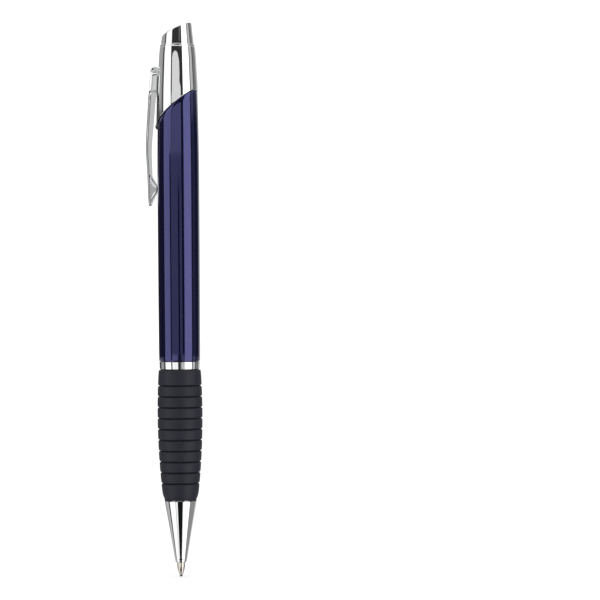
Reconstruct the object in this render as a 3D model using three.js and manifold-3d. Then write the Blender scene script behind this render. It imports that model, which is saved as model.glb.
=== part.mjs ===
// A retractable ballpoint pen with a rubber grip, a screwed barrel, a slanted chrome cap and a pocket clip.
// Millimetres, +Z up. The pen stands tip down with its refill out, and the clip is on the -X side.
// Its axis is parallel to Z at x = AXIS_X, which centres the bounding box on the origin.
// In every outline a radius or a reach is the distance from the pen's own axis.

import * as THREE from "three";
import { mergeVertices } from "three/addons/utils/BufferGeometryUtils.js";
import Module from "manifold-3d";

const wasm = await Module();
wasm.setup();

// Driving dimensions: heights above the writing ball's lowest point
const NOSE_MOUTH_Z = 3.6;
const GRIP_BOTTOM_Z = 19.3;
const GRIP_TOP_Z = 52.2;
const RING_TOP_Z = 54.24;
const CAP_TOP_Z = 134.1;
const CAP_EDGE_Z = 118.7; // where the cap's oblique lower edge crosses the axis
const CAP_EDGE_SLOPE = 0.815; // the edge is low on the clip side
const BUTTON_FACE_Z = 138.06; // where the button's slanted face crosses the axis
const BUTTON_FACE_SLOPE = 0.478;

// Driving dimensions: radii
const POINT_RADIUS = 0.99;
const BALL_RADIUS = 0.35;
const GRIP_RADIUS = 5.67; // the widest rib
const RING_RADIUS = 5.07;
const BARREL_RADIUS = 5.27;
const REFILL_RADIUS = 2.95;

// Pocket clip
const CLIP_REACH = 8.1; // the outer face at its furthest
const CLIP_TOP_Z = 128.8;
const CLIP_HINGE_Z = 121.9;
const CLIP_BASE_WIDTH = 4.85;
const CLIP_THICKNESS = 0.55;
const CLIP_CROWN = 0.18; // how far the outer face stands proud along its middle
const LEAF_THICKNESS = 0.3;
const LEAF_WIDTH = 4.4;

// Grip ribs
const GROOVE_COUNT = 10;
const FIRST_GROOVE_Z = 23.57;
const GROOVE_PITCH = 2.733;
const GROOVE_DEPTH = 0.3;
const GROOVE_HALF_WIDTH = 0.3;

// Click mechanism: the refill retracts by STROKE and is pressed past its latch by OVERTRAVEL
const STROKE = 5;
const OVERTRAVEL = 1.2;
const RIB_COUNT = 4;
const CLICK_TURN = THREE.MathUtils.degToRad(45); // the rotor's turn over the whole travel
const RIB_HALF_ANGLE = THREE.MathUtils.degToRad(9);
const RIB_BOTTOM_Z = 106;
const CAM_GAP = 0.35;

// Running clearances
const SLIP = 0.1; // between pieces that are pushed together
const SEAT = 0.08; // between the cap and the clip parts that are fastened on it

const OUTER_SEGMENTS = 32;
const INNER_SEGMENTS = 24;
const AXIS_X = (CLIP_REACH - GRIP_RADIUS) / 2;

// ---------------------------------------------------------------- helpers

// The same geometry with its faces pointing out.
function facingOut(geometry) {
  const position = geometry.getAttribute("position");
  const index = geometry.index.array;
  const [a, b, c] = [new THREE.Vector3(), new THREE.Vector3(), new THREE.Vector3()];
  let volume = 0;
  for (let i = 0; i < index.length; i += 3) {
    a.fromBufferAttribute(position, index[i]);
    b.fromBufferAttribute(position, index[i + 1]);
    c.fromBufferAttribute(position, index[i + 2]);
    volume += a.dot(b.cross(c));
  }
  if (volume < 0)
    for (let i = 0; i < index.length; i += 3)
      [index[i + 1], index[i + 2]] = [index[i + 2], index[i + 1]];
  return geometry;
}

// Only positions, with shared vertices merged.
function merged(geometry) {
  const bare = geometry.clone();
  bare.deleteAttribute("normal");
  bare.deleteAttribute("uv");
  return mergeVertices(bare, 1e-4);
}

// A solid of revolution from [radius, z] points. An outline that is off the axis closes on itself.
function turned(outline, segments = OUTER_SEGMENTS) {
  const points = outline.map(([radius, z]) => new THREE.Vector2(radius, z));
  if (outline[0][0] > 0) points.push(points[0].clone());
  const lathe = new THREE.LatheGeometry(points, segments).rotateX(Math.PI / 2);
  return facingOut(merged(lathe));
}

// A skin through sections of equal length. It closes on itself, or has its two ends capped.
function lofted(sections, closed = false) {
  const size = sections[0].length;
  const positions = sections.flat().flatMap((point) => point.toArray());
  const index = [];
  const spans = closed ? sections.length : sections.length - 1;
  for (let i = 0; i < spans; i++)
    for (let k = 0; k < size; k++) {
      const [here, next] = [i * size, ((i + 1) % sections.length) * size];
      const l = (k + 1) % size;
      index.push(here + k, next + k, here + l, next + k, next + l, here + l);
    }
  if (!closed) {
    const last = (sections.length - 1) * size;
    for (let k = 1; k < size - 1; k++) {
      index.push(0, k, k + 1);
      index.push(last, last + k + 1, last + k);
    }
  }
  const geometry = new THREE.BufferGeometry();
  geometry.setAttribute("position", new THREE.Float32BufferAttribute(positions, 3));
  geometry.setIndex(index);
  return facingOut(geometry);
}

// A square section between two radii at one angle, with its own lower and upper height.
function radialSection(angle, inner, outer, bottom, top) {
  const corners = [[inner, bottom], [outer, bottom], [outer, top], [inner, top]];
  return corners.map(
    ([radius, z]) => new THREE.Vector3(radius * Math.cos(angle), radius * Math.sin(angle), z),
  );
}

// A flat outline of [x, y] points pushed up by depth.
function extruded(outline, depth) {
  const shape = new THREE.Shape(outline.map(([x, y]) => new THREE.Vector2(x, y)));
  const geometry = new THREE.ExtrudeGeometry(shape, { depth, bevelEnabled: false });
  return facingOut(merged(geometry));
}

// An outline of [reach, z] points on the clip side, as wide as stated across Y.
function sidePlate(outline, width) {
  const plate = extruded(outline.map(([reach, z]) => [-reach, z]), width);
  return facingOut(plate.rotateX(Math.PI / 2).translate(0, width / 2, 0));
}

function solidOf(geometry) {
  const mesh = merged(geometry);
  return new wasm.Manifold(
    new wasm.Mesh({
      numProp: 3,
      vertProperties: mesh.getAttribute("position").array,
      triVerts: new Uint32Array(mesh.index.array),
    }),
  );
}

function geometryOf(solid) {
  const mesh = solid.getMesh();
  const geometry = new THREE.BufferGeometry();
  geometry.setAttribute("position", new THREE.BufferAttribute(mesh.vertProperties, 3));
  geometry.setIndex(new THREE.BufferAttribute(mesh.triVerts, 1));
  return geometry;
}

// A block with one face on the plane z = height + slope * x, on the side that it fills.
function slantedBlock(height, slope, side) {
  const size = 60;
  const block = new THREE.BoxGeometry(size, size, size).translate(0, 0, (side * size) / 2);
  return solidOf(block.rotateY(-Math.atan(slope)).translate(0, 0, height));
}

// ---------------------------------------------------------------- outlines that neighbours share

const TENON_RADIUS = 4.72; // the barrel's neck inside the cap, at TENON_Z
const TENON_Z = 114;
const TENON_TOP_Z = 124.4;
const TENON_TAPER = 0.0356;
const tenonRadius = (z) => TENON_RADIUS - TENON_TAPER * (z - TENON_Z);

// The cap's outside, from below its oblique edge up to the mouth, grown by an offset.
const CAP_OUTSIDE = [[5.29, 113], [5.27, 114.5], [5.2, 118], [5.07, 123.3], [4.97, 125.7],
  [4.88, 128.3], [4.75, 130.2], [4.5, 133], [4.4, 133.8], [4.33, CAP_TOP_Z]];
const capOutside = (offset) => CAP_OUTSIDE.map(([radius, z]) => [radius + offset, z]);

// ---------------------------------------------------------------- front section

const SPIGOT_RADIUS = 3.2;
const SPIGOT_TOP_Z = 22.5;
const SPRING_BORE = 2.5;
const SPRING_SEAT_Z = 13;
const CORE_RADIUS = 3.6;
const CORE_BORE = 3.15;
const THREAD_ROOT = 3.5;
const THREAD_CREST = 3.75;
const THREAD_BOTTOM_Z = 55.2;
const THREAD_COUNT = 5;
const THREAD_PITCH = 1;
const CORE_TOP_Z = 61;

function noseCone() {
  const top = GRIP_BOTTOM_Z - 0.2;
  return turned([
    [1.12, NOSE_MOUTH_Z], [1.25, NOSE_MOUTH_Z], [1.4, 3.8], [1.47, 4.2],
    [2.74, 11.7], [4.05, top], [SPIGOT_RADIUS, top], [SPIGOT_RADIUS, SPIGOT_TOP_Z],
    [SPRING_BORE, SPIGOT_TOP_Z], [SPRING_BORE, SPRING_SEAT_Z], [1.85, SPRING_SEAT_Z],
    [1.85, 9.5], [1.12, 9.2],
  ]);
}

// The ribs' crowns lie on one shallow arch along the grip.
function gripRadius(z) {
  const widestZ = 41;
  const fall = 0.00278;
  return GRIP_RADIUS - fall * (z - widestZ) ** 2;
}

function rubberGrip() {
  const bore = CORE_RADIUS + SLIP;
  const outline = [[bore, 19.5], [3.93, GRIP_BOTTOM_Z], [4.15, 19.6], [4.36, 20.6]];
  for (let i = 0; i < GROOVE_COUNT; i++) {
    const z = FIRST_GROOVE_Z + i * GROOVE_PITCH;
    const [low, high] = [z - GROOVE_HALF_WIDTH, z + GROOVE_HALF_WIDTH];
    outline.push([gripRadius(low), low]);
    outline.push([gripRadius(z) - GROOVE_DEPTH, z]);
    outline.push([gripRadius(high), high]);
  }
  outline.push([5.15, 51.7], [4.9, GRIP_TOP_Z], [bore, GRIP_TOP_Z]);
  return turned(outline);
}

// The tube that carries the rubber. The nose cone screws into it below and the barrel onto it above.
function gripCore() {
  const socket = SPIGOT_RADIUS + SLIP;
  const socketTop = SPIGOT_TOP_Z + 0.3;
  const outline = [[socket, 19.4], [CORE_RADIUS, 19.4], [CORE_RADIUS, 53], [THREAD_ROOT, 53.1]];
  for (let i = 0; i < THREAD_COUNT; i++) {
    const z = THREAD_BOTTOM_Z + i * THREAD_PITCH;
    outline.push([THREAD_ROOT, z], [THREAD_CREST, z + 0.3], [THREAD_CREST, z + 0.5]);
    outline.push([THREAD_ROOT, z + 0.8]);
  }
  outline.push([THREAD_ROOT, CORE_TOP_Z], [CORE_BORE, CORE_TOP_Z]);
  outline.push([CORE_BORE, socketTop], [socket, socketTop]);
  return turned(outline, INNER_SEGMENTS);
}

const SPRING_WIRE = 0.25;
const SPRING_RADIUS = 2.1;
const SPRING_TURNS = 9;
const SPRING_BOTTOM_Z = SPRING_SEAT_Z + 0.1;
const SPRING_TOP_Z = 24.4;

class Coil extends THREE.Curve {
  getPoint(t, target = new THREE.Vector3()) {
    const angle = t * SPRING_TURNS * 2 * Math.PI;
    const low = SPRING_BOTTOM_Z + SPRING_WIRE;
    const high = SPRING_TOP_Z - SPRING_WIRE;
    const x = SPRING_RADIUS * Math.cos(angle);
    const y = SPRING_RADIUS * Math.sin(angle);
    return target.set(x, y, low + t * (high - low));
  }
}

function returnSpring() {
  const wire = new THREE.Shape();
  for (let k = 0; k < 6; k++) {
    const angle = (k * Math.PI) / 3;
    const [x, y] = [SPRING_WIRE * Math.cos(angle), SPRING_WIRE * Math.sin(angle)];
    if (k) wire.lineTo(x, y);
    else wire.moveTo(x, y);
  }
  const steps = SPRING_TURNS * 12;
  const coil = new THREE.ExtrudeGeometry(wire, { steps, extrudePath: new Coil() });
  return facingOut(merged(coil));
}

function centreRing() {
  const bore = THREAD_CREST + 0.15;
  const low = GRIP_TOP_Z + SLIP;
  return turned([
    [bore, low], [RING_RADIUS - 0.1, low], [RING_RADIUS, low + 0.12],
    [RING_RADIUS, RING_TOP_Z - 0.12], [RING_RADIUS - 0.1, RING_TOP_Z], [bore, RING_TOP_Z],
  ]);
}

// ---------------------------------------------------------------- barrel section

const INSERT_RADIUS = 4.55;
const INSERT_TOP_Z = 62;
const SLEEVE_RADIUS = 3.75;
const SLEEVE_BOTTOM_Z = 99.5;
const SLEEVE_TOP_Z = 121;

function barrelTube() {
  const bottom = RING_TOP_Z + SLIP;
  const wideBore = INSERT_RADIUS + SLIP;
  const neckBore = SLEEVE_RADIUS + SLIP;
  const body = turned([
    [wideBore, bottom], [4.98, bottom], [5.1, bottom + 0.12], [5.17, 56], [5.24, 70],
    [BARREL_RADIUS, 90], [BARREL_RADIUS, 105], [5.2, 110], [5.13, 115], [4.92, 123.5],
    [neckBore, 123.5], [neckBore, 98.5], [wideBore, 97.5],
  ]);
  const neck = turned([
    [neckBore, 112], [tenonRadius(112), 112], [tenonRadius(TENON_TOP_Z), TENON_TOP_Z],
    [neckBore, TENON_TOP_Z],
  ]);
  const aboveEdge = slantedBlock(CAP_EDGE_Z - 0.3, CAP_EDGE_SLOPE, 1);
  return geometryOf(solidOf(body).subtract(aboveEdge).add(solidOf(neck)));
}

// The nut pressed into the barrel. Its thread is a plain bore that clears the core's crests.
function threadInsert() {
  const bore = THREAD_CREST + 0.15;
  const bottom = RING_TOP_Z + 0.3;
  return turned([
    [bore, bottom], [INSERT_RADIUS, bottom], [INSERT_RADIUS, INSERT_TOP_Z], [bore, INSERT_TOP_Z],
  ], INNER_SEGMENTS);
}

function upperCap() {
  const clear = 0.12;
  const mouth = 4.25;
  const inside = [
    [mouth, CAP_TOP_Z], [mouth, TENON_TOP_Z + 0.3], [tenonRadius(TENON_TOP_Z) + clear, TENON_TOP_Z],
    [tenonRadius(113) + clear, 113],
  ];
  const shell = turned([...capOutside(0), ...inside]);
  return geometryOf(solidOf(shell).subtract(slantedBlock(CAP_EDGE_Z, CAP_EDGE_SLOPE, -1)));
}

// The spring leaf that is clamped under the bracket and lies down the cap's side.
function clipLeaf() {
  const [low, high] = [112.8, 126];
  const covered = CAP_OUTSIDE.filter(([, z]) => z > low && z < high);
  const face = [[5.3, low], ...covered, [4.96, high]];
  const grown = (offset) => face.map(([radius, z]) => [radius + offset, z]);
  const ring = turned([...grown(SEAT + LEAF_THICKNESS), ...grown(SEAT).reverse()]);
  const window = new THREE.BoxGeometry(8, LEAF_WIDTH, 30).translate(-7, 0, 118);
  return geometryOf(solidOf(ring).intersect(solidOf(window)));
}

// The bracket on the cap that carries the clip. Its top is arched and stands clear of the cap.
function clipBase() {
  const half = CLIP_BASE_WIDTH / 2;
  const roofZ = CLIP_HINGE_Z + 0.3;
  const arch = [[-half, roofZ - 1], [half, roofZ - 1]];
  for (let k = 0; k <= 8; k++) {
    const angle = (k * Math.PI) / 8;
    arch.push([half * Math.cos(angle), CLIP_TOP_Z - half + half * Math.sin(angle)]);
  }
  const front = extruded(arch, 4).rotateX(Math.PI / 2).rotateZ(-Math.PI / 2).translate(-4.6, 0, 0);
  const side = sidePlate([
    [4.6, roofZ], [6.45, roofZ], [6.45, CLIP_HINGE_Z], [7.06, CLIP_HINGE_Z],
    [6.64, 128], [6.3, CLIP_TOP_Z], [4.6, CLIP_TOP_Z],
  ], CLIP_BASE_WIDTH + 1);
  const block = solidOf(front).intersect(solidOf(side));
  const overLeaf = capOutside(LEAF_THICKNESS + 2 * SEAT);
  const saddle = turned([[0, 112], ...overLeaf, [0, CAP_TOP_Z]]);
  const notch = turned([[0, 127.6], [5.45, 127.6], [5.4, 129], [0, 129]]);
  return geometryOf(block.subtract(solidOf(saddle)).subtract(solidOf(notch)));
}

// The bowed arm, from its root under the bracket down to its free end: [z, reach, width].
const CLIP_STATIONS = [
  [121.65, 7.05, 4.3], [118.5, 7.3, 4.29], [115.3, 7.57, 4.27], [110.3, 8.0, 3.65],
  [107.2, CLIP_REACH, 3.3], [103.9, 7.95, 2.95], [100.7, 7.85, 2.68], [95.9, 7.8, 2.28],
  [93.5, 7.7, 2.2],
];

function clipArm() {
  const sections = CLIP_STATIONS.map(([z, reach, width]) => {
    const [half, inner, edge] = [width / 2, reach - CLIP_THICKNESS, reach - CLIP_CROWN];
    const corners = [[inner, -half], [edge, -half], [reach, -half / 2], [reach, half / 2],
      [edge, half], [inner, half]];
    return corners.map(([r, y]) => new THREE.Vector3(-r, y, z));
  });
  const keel = sidePlate([
    [7.4, 100.9], [7.1, 100.9], [5.5, 98.4], [5.45, 97.1], [7.1, 94.1], [7.4, 94.1],
  ], 1.6);
  return geometryOf(solidOf(lofted(sections)).add(solidOf(keel)));
}

// ---------------------------------------------------------------- click mechanism

const BUTTON_SKIRT_Z = 126;
const BUTTON_BORE = 3.5;
const ROD_RADIUS = 2.4;
const ROTOR_TOP_Z = 112;
const COLLAR_Z = 113;
const SLEEVE_BORE = 3.1;
const RIB_INNER = 2.6;

// The height that the rotor climbs for each radian of its turn.
const HELIX = (STROKE + OVERTRAVEL) / CLICK_TURN;

function camSleeve() {
  const tube = turned([
    [SLEEVE_BORE, SLEEVE_BOTTOM_Z], [SLEEVE_RADIUS, SLEEVE_BOTTOM_Z],
    [SLEEVE_RADIUS, SLEEVE_TOP_Z], [RIB_INNER, SLEEVE_TOP_Z], [RIB_INNER, SLEEVE_TOP_Z - 1],
    [SLEEVE_BORE, SLEEVE_TOP_Z - 1.1],
  ], INNER_SEGMENTS);
  let sleeve = solidOf(tube);
  for (let i = 0; i < RIB_COUNT; i++) {
    const sections = [-1, 0, 1].map((side) => {
      const offset = side * RIB_HALF_ANGLE;
      const angle = (i * 2 * Math.PI) / RIB_COUNT + offset;
      const bottom = RIB_BOTTOM_Z + HELIX * offset;
      return radialSection(angle, RIB_INNER, SLEEVE_BORE + 0.3, bottom, 111.5);
    });
    sleeve = sleeve.add(solidOf(lofted(sections)));
  }
  return geometryOf(sleeve);
}

// Saw teeth round a ring, rising by height over each tooth.
function sawTooth(angle, count, height) {
  return height * (((angle * count) / (2 * Math.PI)) % 1);
}

function toothedRing(inner, outer, bottom, top) {
  const steps = 32;
  const sections = [];
  for (let i = 0; i < steps; i++) {
    const angle = (i * 2 * Math.PI) / steps;
    sections.push(radialSection(angle, inner, outer, bottom(angle), top(angle)));
  }
  return lofted(sections, true);
}

function rotor() {
  const toothRoot = ROTOR_TOP_Z - 0.8;
  const body = toothedRing(
    1.2, ROD_RADIUS, () => 98.3, (angle) => toothRoot + sawTooth(angle, 8, 0.8),
  );
  let part = solidOf(body);
  const restAngle = (OVERTRAVEL / (STROKE + OVERTRAVEL)) * CLICK_TURN;
  for (let i = 0; i < RIB_COUNT; i++) {
    const sections = [-1, 0, 1].map((side) => {
      const offset = side * RIB_HALF_ANGLE;
      const angle = (i * 2 * Math.PI) / RIB_COUNT + restAngle + offset;
      const top = RIB_BOTTOM_Z + OVERTRAVEL - CAM_GAP + HELIX * offset;
      return radialSection(angle, ROD_RADIUS - 0.3, SLEEVE_BORE - 0.12, 101, top);
    });
    part = part.add(solidOf(lofted(sections)));
  }
  return geometryOf(part);
}

function pushRod() {
  const crown = toothedRing(
    1.2, ROD_RADIUS, (angle) => ROTOR_TOP_Z + 0.3 + sawTooth(angle, 8, 0.7), () => 114,
  );
  const shaft = turned([
    [0, 113.8], [ROD_RADIUS, 113.8], [2.95, COLLAR_Z + 0.8], [2.95, COLLAR_Z + 1.8],
    [ROD_RADIUS, COLLAR_Z + 1.9], [ROD_RADIUS, BUTTON_SKIRT_Z], [BUTTON_BORE - SLIP, BUTTON_SKIRT_Z],
    [BUTTON_BORE - SLIP, 134], [0, 134],
  ], INNER_SEGMENTS);
  return geometryOf(solidOf(crown).add(solidOf(shaft)));
}

function pushButton() {
  const shell = turned([
    [BUTTON_BORE, BUTTON_SKIRT_Z], [4.1, BUTTON_SKIRT_Z], [4.15, 126.3], [4.15, CAP_TOP_Z],
    [4.04, 136.5], [3.9, 138], [3.62, 140.5], [0, 140.5], [0, 134.3], [BUTTON_BORE, 134.3],
  ]);
  const aboveFace = slantedBlock(BUTTON_FACE_Z, BUTTON_FACE_SLOPE, 1);
  return geometryOf(solidOf(shell).subtract(aboveFace));
}

// ---------------------------------------------------------------- refill

const NOZZLE_RADIUS = 1.6;
const REFILL_BORE = 2.7;
const REFILL_TOP_Z = 98;

function writingBall() {
  return facingOut(
    merged(new THREE.SphereGeometry(BALL_RADIUS, 12, 8).rotateX(Math.PI / 2)),
  ).translate(0, 0, BALL_RADIUS);
}

// The turned metal point, with the ball's socket at its end and the ink channel through it.
function refillPoint() {
  return turned([
    [0.37, 0.45], [0.4, 0.45], [POINT_RADIUS, 2.3], [POINT_RADIUS, 11.4], [0.25, 11.4],
    [0.25, 0.9], [0.37, 0.8],
  ], INNER_SEGMENTS);
}

function refillNozzle() {
  const socket = POINT_RADIUS + 0.06;
  return turned([
    [socket, 11], [1.2, 11], [NOZZLE_RADIUS, 12], [NOZZLE_RADIUS, 24.7], [REFILL_RADIUS, 25.4],
    [REFILL_RADIUS, 26.4], [REFILL_BORE - SLIP, 26.4], [REFILL_BORE - SLIP, 30], [0.6, 30],
    [0.6, 11.6], [socket, 11.6],
  ], INNER_SEGMENTS);
}

function refillTube() {
  return turned([
    [REFILL_BORE, 26.5], [REFILL_RADIUS, 26.5], [REFILL_RADIUS, 96.4], [REFILL_BORE, 96.4],
  ], INNER_SEGMENTS);
}

function inkColumn() {
  return turned([[0, 30.2], [2.6, 30.2], [2.6, 78], [2.2, 78.6], [0, 78.6]], INNER_SEGMENTS);
}

function refillPlug() {
  return turned([
    [0.5, 93], [2.6, 93], [2.6, 96.5], [REFILL_RADIUS, 96.5], [REFILL_RADIUS, 97.4],
    [2.6, REFILL_TOP_Z], [0.5, REFILL_TOP_Z],
  ], INNER_SEGMENTS);
}

// ---------------------------------------------------------------- assembly

const finish = (color, roughness, metalness) =>
  new THREE.MeshStandardMaterial({ color, roughness, metalness });

const PARTS = [
  ["nose_cone", noseCone, finish(0xd9dbde, 0.08, 1)],
  ["rubber_grip", rubberGrip, finish(0x2d2e36, 0.75, 0)],
  ["grip_core", gripCore, finish(0xc4b48a, 0.35, 1)],
  ["return_spring", returnSpring, finish(0xb8babd, 0.25, 1)],
  ["centre_ring", centreRing, finish(0xd9dbde, 0.08, 1)],
  ["barrel_tube", barrelTube, finish(0x262a55, 0.2, 0.5)],
  ["thread_insert", threadInsert, finish(0xc9a95a, 0.35, 1)],
  ["upper_cap", upperCap, finish(0xd9dbde, 0.07, 1)],
  ["clip_base", clipBase, finish(0xd9dbde, 0.09, 1)],
  ["clip_leaf", clipLeaf, finish(0xd9dbde, 0.09, 1)],
  ["clip_arm", clipArm, finish(0xd9dbde, 0.09, 1)],
  ["cam_sleeve", camSleeve, finish(0xe8e6df, 0.5, 0)],
  ["rotor", rotor, finish(0x30343c, 0.5, 0)],
  ["push_rod", pushRod, finish(0xe8e6df, 0.5, 0)],
  ["push_button", pushButton, finish(0xd9dbde, 0.07, 1)],
  ["writing_ball", writingBall, finish(0x3a3a40, 0.2, 1)],
  ["refill_point", refillPoint, finish(0xb9a88c, 0.25, 1)],
  ["refill_nozzle", refillNozzle, finish(0xc9a95a, 0.3, 1)],
  ["refill_tube", refillTube, finish(0xc8cacd, 0.3, 1)],
  ["ink_column", inkColumn, finish(0x14206a, 0.3, 0)],
  ["refill_plug", refillPlug, finish(0x2b3f8c, 0.5, 0)],
];

const pen = new THREE.Group();
pen.position.x = AXIS_X;
for (const [name, shape, material] of PARTS) {
  const mesh = new THREE.Mesh(shape(), material);
  mesh.name = name;
  pen.add(mesh);
}

export default pen;
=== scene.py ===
"""The looks of a retractable ballpoint pen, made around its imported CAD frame.

Every piece of the pen is a fine mesh that stands for its CAD node. Outlines are in millimetres: a radius
or a reach is measured from the pen's own axis, a height from the writing ball's lowest point.
"""

import math

import bmesh
import bpy
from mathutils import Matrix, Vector

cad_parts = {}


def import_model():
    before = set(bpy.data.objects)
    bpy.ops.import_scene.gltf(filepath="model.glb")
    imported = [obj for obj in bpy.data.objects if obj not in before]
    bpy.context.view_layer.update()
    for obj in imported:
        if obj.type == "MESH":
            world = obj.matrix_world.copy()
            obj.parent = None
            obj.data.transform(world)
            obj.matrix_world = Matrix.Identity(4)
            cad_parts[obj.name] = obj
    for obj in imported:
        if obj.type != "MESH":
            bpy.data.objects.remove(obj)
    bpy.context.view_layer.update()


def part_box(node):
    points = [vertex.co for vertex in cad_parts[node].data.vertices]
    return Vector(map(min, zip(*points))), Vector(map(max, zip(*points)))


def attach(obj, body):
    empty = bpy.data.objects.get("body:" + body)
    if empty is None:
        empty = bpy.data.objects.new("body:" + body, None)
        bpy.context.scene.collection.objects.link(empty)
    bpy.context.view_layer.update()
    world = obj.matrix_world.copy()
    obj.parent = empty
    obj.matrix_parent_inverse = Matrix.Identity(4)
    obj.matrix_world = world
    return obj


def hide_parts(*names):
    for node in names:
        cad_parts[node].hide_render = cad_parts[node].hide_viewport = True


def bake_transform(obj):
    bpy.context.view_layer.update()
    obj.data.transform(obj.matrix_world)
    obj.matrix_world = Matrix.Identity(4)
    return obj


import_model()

MM = 0.001
TURN = 2 * math.pi


def span(node):
    """The lowest and highest z of a CAD node, in millimetres."""
    low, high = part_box(node)
    return low.z / MM, high.z / MM


def radius_of(node):
    """Half a CAD node's depth, in millimetres."""
    low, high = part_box(node)
    return (high.y - low.y) / 2 / MM


# ---------------------------------------------------------------- driving dimensions

barrel_low, barrel_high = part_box("barrel_tube")
AXIS_X = (barrel_low.x + barrel_high.x) / 2 / MM

NOSE_MOUTH_Z = span("nose_cone")[0]
GRIP_BOTTOM_Z, GRIP_TOP_Z = span("rubber_grip")
GRIP_RADIUS = radius_of("rubber_grip")
RING_BOTTOM_Z, RING_TOP_Z = span("centre_ring")
RING_RADIUS = radius_of("centre_ring")
BARREL_BOTTOM_Z, TENON_TOP_Z = span("barrel_tube")
CAP_TOP_Z = span("upper_cap")[1]
SKIRT_Z = span("push_button")[0]
REFILL_RADIUS = radius_of("refill_tube")
REFILL_BOTTOM_Z, REFILL_TOP_Z = span("refill_tube")
CLIP_END_Z = span("clip_arm")[0]
CLIP_TOP_Z = span("clip_base")[1]
SPRING_BOTTOM_Z, SPRING_TOP_Z = span("return_spring")

CAP_EDGE_Z, CAP_EDGE_SLOPE = 118.7, 0.815
BUTTON_FACE_Z, BUTTON_FACE_SLOPE = 138.06, 0.478
GROOVE_COUNT, FIRST_GROOVE_Z, GROOVE_PITCH, GROOVE_DEPTH = 10, 23.57, 2.733, 0.3
THREAD_ROOT, THREAD_CREST, THREAD_PITCH, THREAD_STARTS = 3.5, 3.75, 1.0, 2
THREAD_LOW_Z, THREAD_HIGH_Z = 55.2, 60.4
CHAMFER = 0.1

OUTER_SEGMENTS = 192
INNER_SEGMENTS = 96
BALL_SEGMENTS = 48
SHARP = math.radians(35)


# ---------------------------------------------------------------- mesh helpers


def rounded(corners, steps=4):
    """A closed outline whose (radius, height, fillet) corners are rounded by their fillets."""
    outline = []
    around = zip(corners[-1:] + corners[:-1], corners, corners[1:] + corners[:1])
    for before, here, after in around:
        point = Vector(here[:2])
        if len(here) < 3:
            outline.append(tuple(point))
            continue
        back, on = Vector(before[:2]) - point, Vector(after[:2]) - point
        reach = min(here[2], 0.48 * back.length, 0.48 * on.length)
        start, end = point + back.normalized() * reach, point + on.normalized() * reach
        for k in range(steps + 1):
            t = k / steps
            outline.append(tuple(start * (1 - t) ** 2 + point * 2 * t * (1 - t) + end * t**2))
    return outline


def curve_through(stations):
    """A smooth function of the first value, through stations of two or more values."""

    def value(at):
        i = 0
        while i < len(stations) - 2 and at > stations[i + 1][0]:
            i += 1
        a, b = stations[i], stations[i + 1]
        before = stations[i - 1] if i else a
        after = stations[i + 2] if i + 2 < len(stations) else b
        width = b[0] - a[0]
        t = min(max((at - a[0]) / width, 0), 1)
        found = []
        for k in range(1, len(a)):
            leaving = (b[k] - before[k]) / (b[0] - before[0]) * width
            arriving = (after[k] - a[k]) / (after[0] - a[0]) * width
            found.append(
                a[k] * (2 * t**3 - 3 * t**2 + 1)
                + leaving * (t**3 - 2 * t**2 + t)
                + b[k] * (3 * t**2 - 2 * t**3)
                + arriving * (t**3 - t**2)
            )
        return found[0] if len(found) == 1 else found

    return value


def steps_between(low, high, count):
    """count + 1 evenly spaced values from low to high."""
    return [low + (high - low) * k / count for k in range(count + 1)]


def made(name, points, faces):
    """A smooth-shaded object, fine_NAME, from points in millimetres about the pen's axis."""
    mesh = bpy.data.meshes.new(name)
    mesh.from_pydata([((x + AXIS_X) * MM, y * MM, z * MM) for x, y, z in points], [], faces)
    work = bmesh.new()
    work.from_mesh(mesh)
    bmesh.ops.remove_doubles(work, verts=work.verts, dist=1e-7)
    bmesh.ops.dissolve_degenerate(work, edges=work.edges, dist=1e-8)
    bmesh.ops.recalc_face_normals(work, faces=work.faces)
    if work.calc_volume(signed=True) < 0:
        bmesh.ops.reverse_faces(work, faces=work.faces)
    work.to_mesh(mesh)
    work.free()
    mesh.shade_smooth()
    mesh.set_sharp_from_angle(angle=SHARP)
    piece = bpy.data.objects.new("fine_" + name, mesh)
    bpy.context.scene.collection.objects.link(piece)
    return piece


def turned(name, outline, segments=OUTER_SEGMENTS):
    """A turned piece. Its closed outline of (radius, height) may be a function of the angle."""
    outline_at = outline if callable(outline) else lambda angle: outline
    points = []
    for i in range(segments):
        angle = TURN * i / segments
        ring = outline_at(angle)
        points += [(r * math.cos(angle), r * math.sin(angle), z) for r, z in ring]
    size = len(ring)
    faces = []
    for i in range(segments):
        here, beside = i * size, (i + 1) % segments * size
        for k in range(size):
            l = (k + 1) % size
            faces.append((here + k, beside + k, beside + l, here + l))
    return made(name, points, faces)


def lofted(name, sections):
    """A skin through closed sections of equally many points, with its two ends capped."""
    size = len(sections[0])
    points = [point for section in sections for point in section]
    faces = []
    for i in range(len(sections) - 1):
        for k in range(size):
            l = (k + 1) % size
            faces.append((i * size + k, (i + 1) * size + k, (i + 1) * size + l, i * size + l))
    last = (len(sections) - 1) * size
    faces.append(tuple(range(size)))
    faces.append(tuple(last + k for k in reversed(range(size))))
    return made(name, points, faces)


def placed(piece, material, slot, body, *nodes):
    """Gives a piece its finish, and makes it ride on a body in place of its CAD nodes."""
    piece.data.materials.append(material)
    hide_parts(*nodes)
    if body:
        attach(piece, body)
    return piece


# ---------------------------------------------------------------- material helpers


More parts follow.
